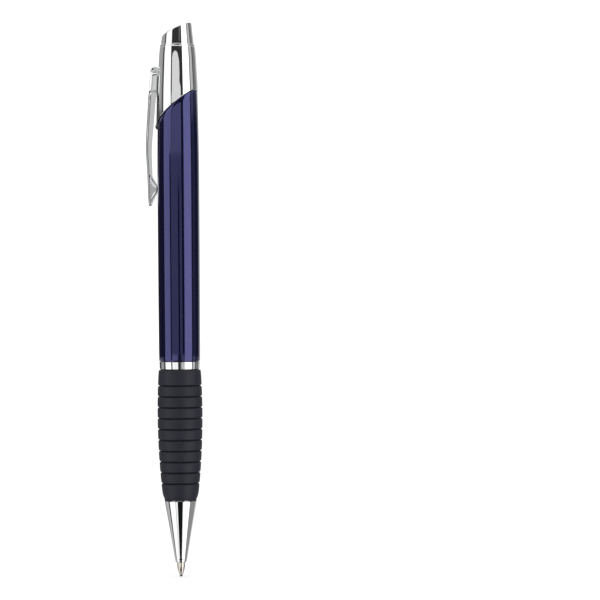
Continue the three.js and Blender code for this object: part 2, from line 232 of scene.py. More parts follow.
class Finish:
    """A material with a Principled shader and coordinates in millimetres on the pen."""

    def __init__(self, name, **values):
        self.material = bpy.data.materials.new(name)
        self.material.use_nodes = True
        self.tree = self.material.node_tree
        self.shader = self.tree.nodes["Principled BSDF"]
        for socket, value in values.items():
            self.shader.inputs[socket.replace("_", " ")].default_value = value
        metres = self.add("ShaderNodeTexCoord").outputs["Object"]
        self.place = self.add("ShaderNodeVectorMath", {"operation": "SCALE"}, Vector=metres, Scale=1 / MM)

    def add(self, kind, settings=None, **inputs):
        """A new node. An input is a value or the socket or node that feeds it."""
        node = self.tree.nodes.new(kind)
        for key, value in (settings or {}).items():
            setattr(node, key, value)
        for key, value in inputs.items():
            socket = node.inputs[int(key[1:])] if key[1:].isdigit() else node.inputs[key.replace("_", " ")]
            self.feed(socket, value)
        return node

    def feed(self, socket, value):
        """Links a socket to the node or socket that feeds it, or gives it a value."""
        if isinstance(value, bpy.types.Node):
            value = value.outputs[0]
        if isinstance(value, bpy.types.NodeSocket):
            self.tree.links.new(value, socket)
        else:
            socket.default_value = value

    def noise(self, scale, detail=3, stretch=(1, 1, 1)):
        """Noise of about scale features in a millimetre, drawn out along the axes by stretch."""
        drawn = self.add("ShaderNodeVectorMath", {"operation": "MULTIPLY"}, _0=self.place, _1=stretch)
        return self.add("ShaderNodeTexNoise", Vector=drawn, Scale=scale, Detail=detail).outputs["Fac"]

    def ranged(self, value, low, high, from_low=0.0, from_high=1.0):
        """A value between low and high, for one between from_low and from_high."""
        return self.add(
            "ShaderNodeMapRange", _0=value, _1=from_low, _2=from_high, _3=low, _4=high
        ).outputs["Result"]

    def mixed(self, amount, a, b):
        """Colour a at an amount of 0, and b at 1."""
        node = self.add("ShaderNodeMix", {"data_type": "RGBA"}, _0=amount)
        self.feed(node.inputs[6], (*a, 1) if isinstance(a, tuple) else a)
        self.feed(node.inputs[7], (*b, 1) if isinstance(b, tuple) else b)
        return node.outputs[2]

    def math(self, operation, a, b=0.0):
        return self.add("ShaderNodeMath", {"operation": operation}, _0=a, _1=b).outputs[0]

    def bump(self, height, depth, under=None):
        """Relief of a depth in micrometres, laid over the relief under it."""
        node = self.add("ShaderNodeBump", Strength=1.0, Distance=depth * 1e-6, Height=height)
        if under:
            self.feed(node.inputs["Normal"], under)
        return node

    def set(self, **inputs):
        """Feeds the shader's inputs."""
        for socket, value in inputs.items():
            self.feed(self.shader.inputs[socket.replace("_", " ")], value)


# ---------------------------------------------------------------- materials


def chrome(name, tint, haze, wave):
    """Polished chrome plate over slightly wavy metal, with handling haze and faint scratches."""
    skin = Finish(name, Metallic=1.0)
    smudge = skin.noise(0.35, 5)
    grime = skin.ranged(skin.noise(1.3, 6), 0, 1, 0.52, 0.75)
    skin.set(Base_Color=skin.mixed(grime, tint, tuple(0.93 * c for c in tint)))
    skin.set(Roughness=skin.ranged(smudge, haze, 2.2 * haze, 0.35, 0.75))
    scratches = skin.bump(skin.noise(9, 2, (1, 1, 0.12)), 0.06)
    skin.set(Normal=skin.bump(skin.noise(0.3, 1), wave, under=scratches))
    return skin.material


def lacquer():
    """Navy metallic lacquer: fine flake and a little cloudiness under a glossy clear coat with hairlines."""
    skin = Finish("blue_lacquer", Metallic=0.9, Coat_Weight=1.0, Coat_Roughness=0.015, Coat_IOR=1.5)
    flake = skin.add("ShaderNodeTexVoronoi", Vector=skin.place, Scale=28.0).outputs["Color"]
    sparkle = skin.add("ShaderNodeSeparateColor", Color=flake).outputs[0]
    cloud = skin.noise(0.2, 2)
    base = skin.mixed(cloud, (0.021, 0.021, 0.12), (0.028, 0.028, 0.15))
    bright = skin.ranged(sparkle, 0, 1, 0.9, 1.0)
    skin.set(Base_Color=skin.mixed(bright, base, (0.09, 0.09, 0.3)))
    skin.set(Roughness=skin.ranged(sparkle, 0.02, 0.06))
    skin.set(Normal=skin.bump(sparkle, 0.6))
    hairline = skin.bump(skin.noise(7, 2, (1, 1, 0.1)), 0.05)
    skin.set(Coat_Normal=skin.bump(skin.noise(0.25, 1), 0.5, under=hairline))
    return skin.material


def rubber():
    """Moulded rubber with a fine grain. The grooves get painted shade in their colour, and the crowns are
    rubbed smoother.
    """
    skin = Finish("grip_rubber", Specular_IOR_Level=0.35)
    crown_wear_and_groove_shade = skin.add("ShaderNodeAttribute", {"attribute_name": "crown"}).outputs["Fac"]
    mottle = skin.noise(0.8, 5)
    tone = skin.mixed(mottle, (0.0105, 0.011, 0.02), (0.0145, 0.015, 0.026))
    # Painted shade: the colour darkens from the crowns down into the grooves.
    skin.set(Base_Color=skin.mixed(crown_wear_and_groove_shade, (0.005, 0.005, 0.008), tone))
    skin.set(Roughness=skin.math("ADD", skin.ranged(crown_wear_and_groove_shade, 0.66, 0.5), skin.ranged(mottle, -0.06, 0.06)))
    coarse = skin.bump(skin.noise(2.2, 2), 6)
    skin.set(Normal=skin.bump(skin.noise(11, 3), 5, under=coarse))
    return skin.material


def metal(name, dark, light, roughness, lines=6.0, relief=0.5):
    """Turned or drawn metal with fine rings round the axis and a little tarnish."""
    skin = Finish(name, Metallic=1.0)
    rings = skin.noise(lines, 2, (0.04, 0.04, 1))
    skin.set(Base_Color=skin.mixed(skin.noise(0.7, 4), dark, light))
    skin.set(Roughness=skin.ranged(rings, 0.75 * roughness, 1.35 * roughness, 0.3, 0.7))
    skin.set(Normal=skin.bump(rings, relief))
    return skin.material


def plastic(name, dark, light, roughness):
    """Moulded plastic with a slightly uneven satin skin."""
    skin = Finish(name, Specular_IOR_Level=0.45)
    skin.set(Base_Color=skin.mixed(skin.noise(0.5, 4), dark, light))
    skin.set(Roughness=skin.ranged(skin.noise(1.5, 3), 0.85 * roughness, 1.2 * roughness, 0.3, 0.7))
    skin.set(Normal=skin.bump(skin.noise(6, 3), 1.5))
    return skin.material


CHROME = chrome("chrome", (0.93, 0.935, 0.945), 0.025, 0.6)
CLIP_CHROME = chrome("clip_chrome", (0.9, 0.905, 0.91), 0.035, 1.2)
# Painted shade: a copy of the chrome tinted nearly black, standing for the shadow under the clip's arm.
PAINTED_SHADE_LEAF_CHROME = chrome("leaf_chrome_painted_shade", (0.2, 0.2, 0.21), 0.06, 1.2)
LACQUER = lacquer()
RUBBER = rubber()
CORE_BRASS = metal("core_brass", (0.5, 0.38, 0.17), (0.66, 0.54, 0.3), 0.3)
INSERT_BRASS = metal("insert_brass", (0.58, 0.42, 0.17), (0.72, 0.56, 0.27), 0.22)
NICKEL_SILVER = metal("nickel_silver", (0.72, 0.68, 0.6), (0.84, 0.8, 0.73), 0.04, 9.0, 0.08)
BALL_STEEL = metal("ball_steel", (0.05, 0.05, 0.055), (0.1, 0.1, 0.11), 0.12, 20.0, 0.05)
REFILL_STEEL = metal("refill_steel", (0.5, 0.51, 0.53), (0.68, 0.69, 0.71), 0.24)
SPRING_STEEL = metal("spring_steel", (0.42, 0.43, 0.45), (0.6, 0.61, 0.63), 0.28, 3.0)
WHITE_PLASTIC = plastic("white_plastic", (0.7, 0.68, 0.61), (0.8, 0.78, 0.72), 0.42)
DARK_PLASTIC = plastic("dark_plastic", (0.03, 0.034, 0.042), (0.045, 0.05, 0.06), 0.4)
PLUG_PLASTIC = plastic("plug_plastic", (0.022, 0.06, 0.28), (0.035, 0.09, 0.38), 0.4)
INK = plastic("ink", (0.006, 0.012, 0.13), (0.012, 0.025, 0.2), 0.12)


# ---------------------------------------------------------------- front section


def nose_cone():
    """The cone, with a spigot that goes up into the grip."""
    top, mouth = GRIP_BOTTOM_Z - 0.2, 1.12
    spigot, spigot_top, bore, seat, guide = 3.2, 22.5, 2.5, 13.0, 1.85
    taper = curve_through([(4.15, 1.47), (7.5, 2.02), (11.7, 2.735), (15.4, 3.38), (top, 4.05)])
    outside = [(taper(z), z) for z in steps_between(4.3, top - 0.1, 30)]
    outline = rounded([
        (mouth, 9.2), (mouth, NOSE_MOUTH_Z, 0.06), (1.3, NOSE_MOUTH_Z, 0.1), (1.42, 3.95, 0.12)])
    outline += outside + rounded([
        (4.05, top), (spigot, top, 0.05), (spigot, spigot_top, 0.2), (bore, spigot_top, 0.1),
        (bore, seat, 0.1), (guide, seat, 0.05), (guide, 9.5)])
    return turned("nose_cone", outline)


def grip_radius(z):
    """The arch that the ribs' crowns lie on, drawn in at the lower lip."""
    arch = GRIP_RADIUS - 0.00278 * (z - 41) ** 2
    return arch - 0.42 * max(0, (21.6 - z) / 2.3) ** 2


def rubber_grip():
    """A sleeve with narrow grooves between rounded ribs, and a crown attribute for its material."""
    bore, groove_width, shoulder, shoulder_width = 3.7, 0.17, 0.05, 0.3
    outline = [(bore, 19.5), (3.86, 19.33), (3.98, GRIP_BOTTOM_Z), (4.1, 19.38)]
    for z in (19.6, 19.9, 20.3, 20.8, 21.4, 22, 22.4):
        outline.append((grip_radius(z) - 0.1 * max(0, 20.2 - z), z))
    beside = [0.0, 0.06, 0.12, 0.18, 0.25, 0.34, 0.5, 0.75, 1.05]
    for i in range(GROOVE_COUNT):
        groove = FIRST_GROOVE_Z + i * GROOVE_PITCH
        for offset in [-d for d in reversed(beside[1:])] + beside:
            cut = GROOVE_DEPTH * math.exp(-((abs(offset) / groove_width) ** 2.4))
            cut += shoulder * math.exp(-abs(offset) / shoulder_width)
            outline.append((grip_radius(groove + offset) - cut, groove + offset))
    outline += [(grip_radius(z), z) for z in (49.6, 50.2, 50.8)]
    outline += rounded([
        (grip_radius(51.0), 51.0), (5.3, 52.0, 0.75), (4.95, GRIP_TOP_Z, 0.2), (bore, GRIP_TOP_Z)])
    grip = turned("rubber_grip", outline)
    crown = grip.data.attributes.new("crown", "FLOAT", "POINT")
    for vertex, item in zip(grip.data.vertices, crown.data):
        z = vertex.co.z / MM
        depth = grip_radius(z) - math.hypot(vertex.co.x / MM - AXIS_X, vertex.co.y / MM)
        item.value = min(max(1 - depth / GROOVE_DEPTH, 0), 1)
    return grip


def thread(base, height, low, high):
    """The radius of a two-start thread at an angle and height, run out at both ends."""

    def radius(angle, z):
        phase = (z / THREAD_PITCH - THREAD_STARTS * angle / TURN) % 1
        flank = min(max(2.2 * (0.5 - abs(phase - 0.5)) - 0.1, 0), 1)
        run_out = min(max((z - low) / 0.5, 0), max((high - z) / 0.5, 0), 1)
        return base + height * flank * run_out

    return radius


def grip_core():
    """The threaded tube that carries the grip. Its socket takes the nose cone's spigot."""
    socket, socket_top, wall, wall_top, bore = 3.3, 22.8, 3.6, 53.0, 3.15
    bottom, top = span("grip_core")
    radius = thread(THREAD_ROOT, THREAD_CREST - THREAD_ROOT, THREAD_LOW_Z, THREAD_HIGH_Z)
    heights = steps_between(THREAD_LOW_Z, THREAD_HIGH_Z, 100)

    def outline(angle):
        lower = [(socket, bottom), (wall - CHAMFER, bottom), (wall, bottom + CHAMFER),
                 (wall, wall_top), (THREAD_ROOT, wall_top + 0.1)]
        upper = [(THREAD_ROOT, top - 0.2), (THREAD_ROOT - 0.15, top),
                 (bore + CHAMFER, top), (bore, top - CHAMFER)]
        inner = [(bore, socket_top), (socket, socket_top)]
        return lower + [(radius(angle, z), z) for z in heights] + upper + inner

    return turned("grip_core", outline, INNER_SEGMENTS)


def return_spring():
    """Round wire wound on a helix, with closed and ground ends."""
    wire, coil, turns, sides, per_turn = 0.25, 2.1, 10.5, 10, 30
    end_rise = 0.12
    low, high = SPRING_BOTTOM_Z + end_rise, SPRING_TOP_Z - end_rise
    closed = 2 * wire * 1.02
    rise = curve_through([(0, low), (1, low + closed), (turns - 1, high - closed), (turns, high)])
    sections = []
    for i in range(int(turns * per_turn) + 1):
        angle, middle = TURN * i / per_turn, rise(i / per_turn)
        section = []
        for k in range(sides):
            around = TURN * k / sides
            r = coil + wire * math.cos(around)
            z = min(max(middle + wire * math.sin(around), SPRING_BOTTOM_Z), SPRING_TOP_Z)
            section.append((r * math.cos(angle), r * math.sin(angle), z))
        sections.append(section)
    return lofted("return_spring", sections)


def centre_ring():
    """A slightly conical ring, wider at its top."""
    bore, face, taper = 3.9, RING_RADIUS, 0.07
    low, high = RING_BOTTOM_Z, RING_TOP_Z
    band = [(face - taper * (1 - t), low + 0.1 + (high - low - 0.2) * t) for t in steps_between(0, 1, 12)]
    outline = [(bore, low), (face - 0.25, low), (face - 0.14, low + 0.03), *band,
               (face - 0.06, high - 0.03), (face - 0.16, high), (bore, high)]
    return turned("centre_ring", outline)


# ---------------------------------------------------------------- barrel section

BARREL_SHAPE = [(54.3, 5.12), (56, 5.17), (63, 5.215), (70, 5.24), (80, 5.262), (90, 5.27), (105, 5.27),
                (110, 5.21), (115, 5.13), (118, 5.07), (123, 4.96), (125, 4.9)]
CAP_SHAPE = [(113, 5.29), (114.5, 5.27), (118, 5.2), (123.3, 5.06), (125.7, 4.94), (128.3, 4.81),
             (130.2, 4.71), (131.2, 4.645), (132, 4.585), (132.7, 4.52), (133.4, 4.45)]
barrel_radius = curve_through(BARREL_SHAPE)
cap_radius = curve_through(CAP_SHAPE)


def cap_edge(radius, angle):
    """The height of the slanted seam between barrel and cap."""
    return CAP_EDGE_Z + CAP_EDGE_SLOPE * radius * math.cos(angle)


def tenon_radius(z):
    """The barrel's tapered upper end, which the cap sits on."""
    return 4.72 - 0.0356 * (z - 114)


def barrel_tube():
    gap, wide_bore, neck_bore = 0.3, 4.65, 3.85
    low = BARREL_BOTTOM_Z
    start = [(wide_bore, low), (4.98, low), (5.06, low + 0.03), (5.11, low + 0.1)]

    def outline(angle):
        top = cap_edge(5.2, angle) - gap
        wall = [(barrel_radius(z), z) for z in steps_between(low + 0.25, top - 0.12, 60)]
        rim = barrel_radius(top)
        edge = [(rim - 0.03, top - 0.04), (rim - 0.1, cap_edge(rim - 0.1, angle) - gap)]
        foot = tenon_radius(top)
        neck = [(foot, cap_edge(foot, angle) - gap), (tenon_radius(TENON_TOP_Z), TENON_TOP_Z - CHAMFER),
                (tenon_radius(TENON_TOP_Z) - CHAMFER, TENON_TOP_Z), (neck_bore, TENON_TOP_Z)]
        return start + wall + edge + neck + [(neck_bore, 98.5), (wide_bore, 97.5)]

    return turned("barrel_tube", outline)


def thread_insert():
    """A bush whose inner thread clears the core's by a little."""
    low, high = span("thread_insert")
    outer, mouth, clear = radius_of("thread_insert"), 4.0, 0.1
    radius = thread(THREAD_ROOT + clear, THREAD_CREST - THREAD_ROOT, low - 1, high + 1)
    heights = steps_between(high - 0.3, low + 0.3, 130)

    def outline(angle):
        bore = [(radius(angle, z), z) for z in heights]
        return [(mouth, low), (outer - CHAMFER, low), (outer, low + CHAMFER), (outer, high - CHAMFER),
                (outer - CHAMFER, high), (mouth, high), *bore]

    return turned("thread_insert", outline, INNER_SEGMENTS)


def upper_cap():
    mouth, clear, lip = 4.24, 0.12, 0.09
    top, shoulder = CAP_TOP_Z, 133.4
    # A fine neck, and the rolled bead round the mouth.
    rim = [(4.37, 133.48), (4.315, 133.54), (4.3, 133.6), (4.315, 133.66), (4.345, 133.72),
           (4.355, 133.8), (4.345, 133.9), (4.325, top - 0.09), (4.29, top - 0.02), (4.27, top),
           (4.25, top - 0.02), (mouth, top - 0.1)]

    def outline(angle):
        edge = cap_edge(5.15, angle)
        wall = [(cap_radius(z), z) for z in steps_between(edge + 1.5 * lip, shoulder, 48)]
        outer = cap_radius(edge)
        inner = tenon_radius(edge) + clear
        rises = [(inner, 0.08), (inner + 0.06, 0), (outer - lip, 0),
                 (outer - 0.3 * lip, 0.25 * lip), (outer, 0.8 * lip)]
        bottom = [(radius, cap_edge(radius, angle) + rise) for radius, rise in rises]
        inside = [(mouth, TENON_TOP_Z + 0.3), (tenon_radius(TENON_TOP_Z) + clear, TENON_TOP_Z)]
        return bottom + wall + rim + inside

    return turned("upper_cap", outline)


# ---------------------------------------------------------------- pocket clip

# Up the clip's arm, from its free end to the arch: height, inner reach, outer reach, width.
CLIP_SHAPE = [
    (93.45, 7.2, 7.72, 2.1), (95.9, 7.24, 7.84, 2.28), (100.7, 7.26, 7.92, 2.68), (103.9, 7.38, 8.03, 2.95),
    (107.2, 7.52, 8.17, 3.3), (110.3, 7.42, 8.08, 3.65), (115.3, 7.02, 7.67, 4.27), (118.5, 6.76, 7.42, 4.4),
    (120.9, 6.56, 7.25, 4.72),
]
ARCH_Z, ROOF_Z, BRACKET_Z, FOLD_Z = 121.0, 122.0, 122.5, 126.6

# Up the folded top of the strip, in the same terms: a fine waist, then a knob that stands clear of the cap.
FOLD_SHAPE = [
    (FOLD_Z, 4.9, 6.68, 4.85), (126.8, 5.1, 6.61, 4.7), (126.95, 5.3, 6.5, 4.5), (127.1, 5.36, 6.5, 4.5),
    (127.25, 5.34, 6.64, 4.74), (127.6, 5.34, 6.7, 4.76), (128.0, 5.36, 6.68, 4.72),
    (128.4, 5.46, 6.58, 4.5), (128.65, 5.62, 6.42, 4.2), (CLIP_TOP_Z, 5.86, 6.18, 3.8),
]

keel_depth = curve_through([(94.0, 0.0), (94.4, 0.12), (97.0, 1.6), (97.7, 1.78), (98.5, 1.7), (99.6, 1.1),
                            (100.8, 0.35), (101.6, 0.0)])
KEEL_HALF_WIDTH = 0.95
# Across the keel, from its edge inwards: share of its half width, share of its depth.
KEEL_EDGE = [(1.06, 0.0), (1.02, 0.0), (0.99, 0.08), (0.95, 0.35),
             (0.91, 0.8), (0.83, 0.96), (0.6, 1.0), (0.3, 1.0)]
# Across the crowned outer face, from its edge inwards: share of the half width, share of the crown.
CROWN = [(0.85, 0.2775), (0.65, 0.5775), (0.4, 0.84), (0.15, 0.9775)]


def keel_half(width):
    """Half the width of the keel on a strip of this width."""
    return min(KEEL_HALF_WIDTH, 0.42 * width)


def clip_section(z, inner_at, outer, width, corner, crown):
    """A section of the strip, with rounded corners. inner_at(y) is the reach of its inner face."""
    half = width / 2
    corner = min(corner, 0.48 * (outer - crown - inner_at(half)), 0.48 * half)
    turns = [math.pi / 2 * k / 5 for k in range(6)]
    bend = [(corner * (1 - math.sin(turn)), half - corner * (1 - math.cos(turn))) for turn in turns]
    outside = [(outer - crown - inset, y) for inset, y in bend]
    outside += [(outer - crown * (1 - rise), (half - corner) * share) for share, rise in CROWN]
    inside = [(inner_at(y) + inset, y) for inset, y in bend]
    # The keel's points stay clear of the corners, also where the strip is narrow.
    press = min(keel_half(width), 0.93 * (half - corner))
    inside += [(inner_at(press * share), press * share) for share, _ in KEEL_EDGE]
    loop = [(r, -y) for r, y in outside] + outside[::-1] + inside + [(r, -y) for r, y in inside[::-1]]
    return [(-r, y, z) for r, y in loop]


def keeled(inner, depth, press):
    """The arm's inner face, with the keel pressed out of it."""
    shape = curve_through([(share, rise) for share, rise in reversed(KEEL_EDGE)])
    return lambda y: inner - depth * shape(abs(y) / press)


def pocket_clip():
    """One strip of spring steel: the rounded bracket, the arch over the gap, the bowed arm and its keel."""
    arm, fold = curve_through(CLIP_SHAPE), curve_through(FOLD_SHAPE)
    seat, end_length, end_corner, arm_corner, bracket_corner, fold_corner = 0.22, 0.7, 0.2, 0.1, 0.26, 0.22
    bracket_width, crown, end_crown, fold_crown = 4.85, 0.1, 0.04, 0.05

    def saddle(z):
        """The bracket's inner face, which follows the cap and the leaf."""
        return lambda y: math.sqrt((cap_radius(z) + seat) ** 2 - y**2)

    def front(z):
        """The outer face from the arch upwards, which is straight."""
        return 7.24 - 0.1 * (z - ARCH_Z)

    sections = []
    # The free end, which is rounded.
    for t in (0.0, 0.06, 0.15, 0.3, 0.5, 0.75, 1.0):
        z = CLIP_END_Z + end_length * t
        inner, outer, width = arm(z)
        draw = math.sqrt(max(1 - (1 - t) ** 2, 0.04))
        middle, half = (inner + outer) / 2, (outer - inner) / 2 * (0.5 + 0.5 * draw)
        flat = keeled(middle - half, 0, 1)
        width *= 0.35 + 0.65 * draw
        sections.append(clip_section(z, flat, middle + half, width, end_corner, end_crown))
    # The arm, with finer steps along its keel.
    for z in steps_between(94.3, 101.8, 36) + steps_between(102.2, 120.9, 40):
        inner, outer, width = arm(z)
        pressed = keeled(inner, keel_depth(z), keel_half(width))
        sections.append(clip_section(z, pressed, outer, width, arm_corner, crown))
    # The arch over the gap, down to the cap.
    inner, _, width = arm(ARCH_Z)
    for t in steps_between(0, 1, 14):
        z = ARCH_Z + (ROOF_Z - ARCH_Z) * t
        drop = 1 - math.sqrt(1 - t**2)
        arched = lambda y: inner + (saddle(z)(y) - inner) * drop
        corner = arm_corner + (bracket_corner - arm_corner) * t
        sections.append(clip_section(z, arched, front(z), width + 0.1 * t, corner, crown))
    # The bracket on the cap, and its folded top.
    for z in steps_between(BRACKET_Z, FOLD_Z, 12):
        sections.append(clip_section(z, saddle(z), front(z), bracket_width, bracket_corner, crown))
    for z in (126.75, 126.85, 126.95, 127.02, 127.1, 127.18, 127.25, 127.4, 127.6, 127.8, 128.0, 128.2,
              128.35, 128.5, 128.6, 128.7, CLIP_TOP_Z):
        inner, outer, width = fold(z)
        back = min((z - FOLD_Z) / 0.4, 1)
        hooked = lambda y: saddle(z)(y) * (1 - back) + inner * back
        sections.append(clip_section(z, hooked, outer, width, fold_corner, fold_crown))
    return lofted("pocket_clip", sections)


def clip_leaf():
    """The leaf that is clamped under the bracket and lies on the cap, with a rolled lower end."""
    low, high = span("clip_leaf")
    seat, thickness, half, bead = 0.02, 0.16, radius_of("clip_leaf"), 0.3
    sections = []
    for z in steps_between(low, high, 40):
        from_end = z - low
        width = half * (1 - 0.45 * max(0, 1 - from_end / 0.9) ** 2.5)
        roll = bead * math.exp(-((from_end - 0.7) / 0.55) ** 2)
        near = cap_radius(max(z, 113)) + seat
        far = near + thickness * (0.4 + 0.6 * min(1, from_end / 0.15)) + roll
        section = []
        for radius, ways in ((far, range(-8, 9)), (near, range(8, -9, -1))):
            for k in ways:
                y = width * k / 8 * (1 if radius == far or abs(k) < 8 else 0.985)
                section.append((-math.sqrt(radius**2 - y**2), y, z))
        sections.append(section)
    return lofted("clip_leaf", sections)


# ---------------------------------------------------------------- click mechanism

STROKE, OVERTRAVEL, RIBS, TEETH = 5.0, 1.2, 4, 8
CLICK_TURN, RIB_HALF_ANGLE = math.radians(45), math.radians(9)
HELIX = (STROKE + OVERTRAVEL) / CLICK_TURN
RIB_BOTTOM_Z, RIB_TOP_Z, CAM_GAP, ROD_RADIUS, SLEEVE_BORE = 106.0, 111.5, 0.35, 2.4, 3.1
ROTOR_LOW_Z, FIN_LOW_Z, ROTOR_TOOTH_Z, ROD_TOOTH_Z, PIVOT_BORE = 98.3, 101.0, 111.2, 112.3, 1.2


def rib_offset(angle, first):
    """The angle from the middle of the rib that holds it, or None between the ribs."""
    pitch = TURN / RIBS
    offset = (angle - first + pitch / 2) % pitch - pitch / 2
    return offset if abs(offset) < RIB_HALF_ANGLE else None


def saw_tooth(angle, height):
    """The rise of the slanted teeth that turn the rotor."""
    return height * ((angle * TEETH / TURN) % 1)


def cam_sleeve():
    """A sleeve with inner ribs. Their slanted feet hold the rotor's fins while the button is down."""
    low, high = span("cam_sleeve")
    outer, crest = radius_of("cam_sleeve"), 2.6

    def outline(angle):
        offset = rib_offset(angle, 0)
        inner = SLEEVE_BORE if offset is None else crest
        foot = RIB_BOTTOM_Z + HELIX * (offset or 0)
        return [(SLEEVE_BORE, low), (outer - CHAMFER, low), (outer, low + CHAMFER), (outer, high - CHAMFER),
                (outer - CHAMFER, high), (crest, high), (crest, high - 1), (SLEEVE_BORE, high - 1.1),
                (SLEEVE_BORE, RIB_TOP_Z), (inner, RIB_TOP_Z - 0.05), (inner, foot),
                (SLEEVE_BORE, foot - 0.01)]

    return turned("cam_sleeve", outline)


def rotor():
    """The turning piece, with fins that run between the sleeve's ribs and teeth on its top."""
    first = OVERTRAVEL / HELIX

    def outline(angle):
        offset = rib_offset(angle, first)
        fin = ROD_RADIUS if offset is None else SLEEVE_BORE - 0.12
        top = RIB_BOTTOM_Z + OVERTRAVEL - CAM_GAP + HELIX * (offset or 0)
        tooth = ROTOR_TOOTH_Z + saw_tooth(angle, 0.8)
        return [(PIVOT_BORE, ROTOR_LOW_Z), (ROD_RADIUS - CHAMFER, ROTOR_LOW_Z),
                (ROD_RADIUS, ROTOR_LOW_Z + CHAMFER), (ROD_RADIUS, FIN_LOW_Z - 0.05), (fin, FIN_LOW_Z),
                (fin, top), (ROD_RADIUS, top + 0.01), (ROD_RADIUS, tooth), (PIVOT_BORE, tooth)]

    return turned("rotor", outline)


def push_rod():
    """The plunger behind the button. Its teeth face the rotor's."""
    collar, head, hollow_top, top = 2.95, 3.4, 113.8, 134.0

    def outline(angle):
        tooth = ROD_TOOTH_Z + saw_tooth(angle, 0.7)
        return [(0, hollow_top), (PIVOT_BORE, hollow_top), (PIVOT_BORE, tooth), (ROD_RADIUS, tooth),
                (ROD_RADIUS, 113.6), (collar, 113.85), (collar, 114.75), (ROD_RADIUS, 114.9),
                (ROD_RADIUS, SKIRT_Z), (head, SKIRT_Z), (head, top - 0.3), (head - 0.3, top), (0, top)]

    return turned("push_rod", outline)


def push_button():
    """A hollow button with a slanted flat top, which tapers above the cap's mouth."""
    bore, roof, lip, low = 3.5, 134.3, 0.42, 126.3
    wall = curve_through([(low, 4.2), (130, 4.2), (132.9, 4.2), (133.5, 4.19), (134.2, 4.135),
                          (135, 4.055), (136.5, 3.895), (138, 3.735), (139, 3.625), (140.5, 3.46)])

    def face(radius, angle):
        return BUTTON_FACE_Z + BUTTON_FACE_SLOPE * radius * math.cos(angle)

    def outline(angle):
        top = face(3.95, angle) - lip
        side = [(wall(z), z) for z in steps_between(low, top, 30)]
        rim = wall(top)
        edge = []
        for k in range(1, 9):
            turn = math.pi / 2 * k / 8
            radius = rim - lip * (1 - math.cos(turn)) - 0.04 * math.sin(turn)
            edge.append((radius, face(radius, angle) - lip * (1 - math.sin(turn))))
        flat = [(radius, face(radius, angle)) for radius in (3.0, 2.2, 1.2, 0)]
        return [(bore, SKIRT_Z), (4.1, SKIRT_Z), *side, *edge, *flat, (0, roof), (bore, roof)]

    return turned("push_button", outline)


# ---------------------------------------------------------------- refill


def writing_ball():
    radius = radius_of("writing_ball")
    arc = steps_between(-math.pi / 2, math.pi / 2, 24)
    outline = [(radius * math.cos(turn), radius + radius * math.sin(turn)) for turn in arc]
    return turned("writing_ball", outline, BALL_SEGMENTS)


def refill_point():
    """A cone with a crimped mouth for the ball, on a straight shank."""
    low, high = span("refill_point")
    radius, bore = radius_of("refill_point"), 0.25
    cone = rounded([(0.38, low + 0.35), (0.37, low, 0.03), (0.41, low, 0.03), (0.5, low + 0.25, 0.2),
                    (0.93, 2.08, 0.25), (0.94, 2.3, 0.04), (radius, 2.36, 0.04), (radius, 3.3)])
    shank = [(radius, high - CHAMFER), (radius - CHAMFER, high), (bore, high), (bore, 0.9)]
    return turned("refill_point", cone + shank, INNER_SEGMENTS)


def refill_nozzle():
    """The stepped neck: a socket for the point, a straight neck, a flange and a plug for the tube."""
    low, high = span("refill_nozzle")
    socket, socket_top, neck, plug, bore = 1.05, 11.6, 1.6, 2.6, 0.6
    flange_top = REFILL_BOTTOM_Z - 0.1
    outline = rounded([
        (socket, low), (1.2, low, 0.04), (neck, 12, 0.2), (neck, 24.7, 0.1), (REFILL_RADIUS, 25.4, 0.15),
        (REFILL_RADIUS, flange_top, 0.05), (plug, flange_top), (plug, high, 0.15), (bore, high, 0.1),
        (bore, socket_top), (socket, socket_top)])
    return turned("refill_nozzle", outline, INNER_SEGMENTS)


def refill_tube():
    """A drawn tube with a rolled groove near each end."""
    bore, roll, roll_width, edge = 2.7, 0.09, 0.28, 0.08
    wall = []
    for z in [REFILL_BOTTOM_Z + 0.1, 27.5, *steps_between(28.1, 29.3, 10), 32, 60, 88,
              *steps_between(94, 95.2, 10), REFILL_TOP_Z - 0.1]:
        dent = roll * sum(math.exp(-((z - middle) / roll_width) ** 2) for middle in (28.7, 94.6))
        wall.append((REFILL_RADIUS - dent, z))
    outline = [(bore, REFILL_BOTTOM_Z), (REFILL_RADIUS - edge, REFILL_BOTTOM_Z), *wall,
               (REFILL_RADIUS - edge, REFILL_TOP_Z), (bore, REFILL_TOP_Z)]
    return turned("refill_tube", outline, INNER_SEGMENTS)


def ink_column():
    """The ink, whose top has a meniscus."""
    radius = radius_of("ink_column")
    low, high = span("ink_column")
    meniscus = [(radius * t, high - 0.5 * (1 - t**2)) for t in (1.0, 0.9, 0.75, 0.5, 0.25, 0.0)]
    outline = [(0, low), (radius - CHAMFER, low), (radius, low + CHAMFER), *meniscus]
    return turned("ink_column", outline, INNER_SEGMENTS)


def refill_plug():
    """A vented plug with a flange on the tube's end."""
    low, high = span("refill_plug")
    vent, plug, flange_low, flange_top = 0.5, 2.6, 96.5, 97.4
    outline = rounded([
        (vent, low), (plug, low, 0.2), (plug, flange_low), (REFILL_RADIUS, flange_low, 0.05),
        (REFILL_RADIUS, flange_top, 0.2), (plug, high, 0.15), (vent, high, 0.1)])
    return turned("refill_plug", outline, INNER_SEGMENTS)


# ---------------------------------------------------------------- assembly

